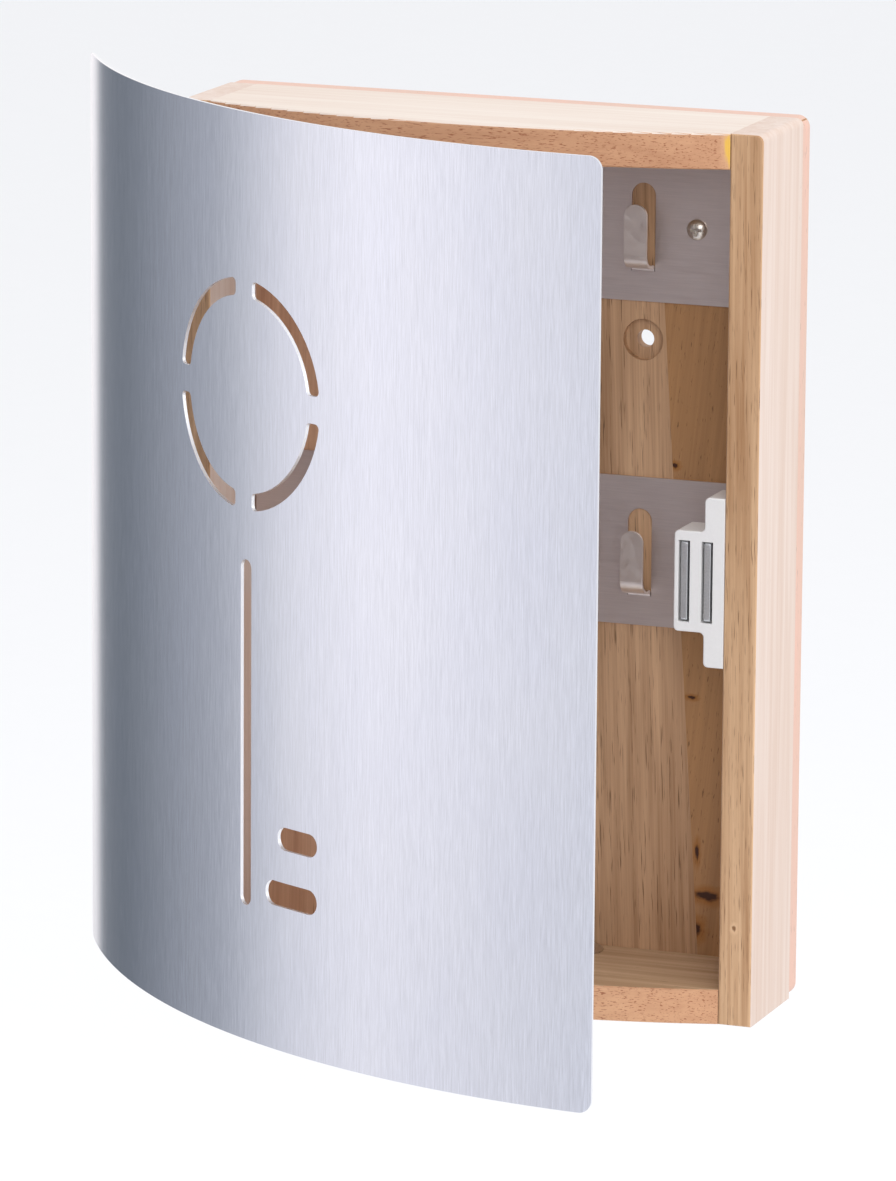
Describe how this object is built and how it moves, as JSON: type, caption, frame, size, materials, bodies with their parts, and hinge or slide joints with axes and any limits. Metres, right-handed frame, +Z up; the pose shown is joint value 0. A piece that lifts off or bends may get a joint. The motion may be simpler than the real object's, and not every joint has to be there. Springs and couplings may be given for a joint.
{
  "type": "key cabinet",
  "caption": "Wall-hung wooden key box with a bowed brushed steel door on side hinges, key-shaped cut-outs, punched hook rails inside and a magnetic catch.",
  "frame": {"origin": "middle of the box's flat back face, on the wall, midway between its left and right sides and its top and bottom", "axes": "+X to the right of someone facing the cabinet, +Y out of the back face into the wall, +Z up; the door opens towards -Y"},
  "size_m": [0.2529, 0.1616, 0.31],
  "materials": {
    "side_wood": "planed and clear sealed rubberwood, matt",
    "board_wood": "planed and clear sealed rubberwood, matt",
    "back_wood": "planed edge-glued rubberwood, matt",
    "dowel_wood": "turned beech, raw",
    "door_steel": "vertically brushed stainless sheet",
    "rail_steel": "horizontally brushed stainless strip",
    "screw_steel": "nickel plated screws",
    "hinge_steel": "zinc plated pressed steel",
    "pole_steel": "sheared zinc plated steel",
    "magnet_ferrite": "sintered ferrite",
    "catch_plastic": "moulded white plastic, satin"
  },
  "bodies": {
    "cabinet": {"left_side_panel": "side_wood", "right_side_panel": "side_wood", "top_board": "board_wood", "bottom_board": "board_wood", "left_back_stave": "back_wood", "middle_back_stave": "back_wood", "right_back_stave": "back_wood", "panel_dowels": "dowel_wood", "back_panel_screws": "screw_steel", "upper_hook_rail": "rail_steel", "lower_hook_rail": "rail_steel", "rail_screws": "screw_steel", "floor_screw": "screw_steel", "upper_hinge_leaf": "hinge_steel", "lower_hinge_leaf": "hinge_steel", "upper_hinge_pin": "hinge_steel", "lower_hinge_pin": "hinge_steel", "hinge_screws": "screw_steel", "catch_housing": "catch_plastic", "inner_pole_plate": "pole_steel", "outer_pole_plate": "pole_steel", "catch_magnet": "magnet_ferrite", "catch_screws": "screw_steel"},
    "door": {"door_sheet": "door_steel", "upper_hinge_arm": "hinge_steel", "lower_hinge_arm": "hinge_steel", "strike_plate": "hinge_steel"}
  },
  "joints": [
    {"name": "door_hinge", "type": "hinge", "parent": "cabinet", "child": "door", "pos_m": [-0.106, -0.007, 0], "axis": [0, 0, 1], "range_deg": [-15, 32]}
  ]
}
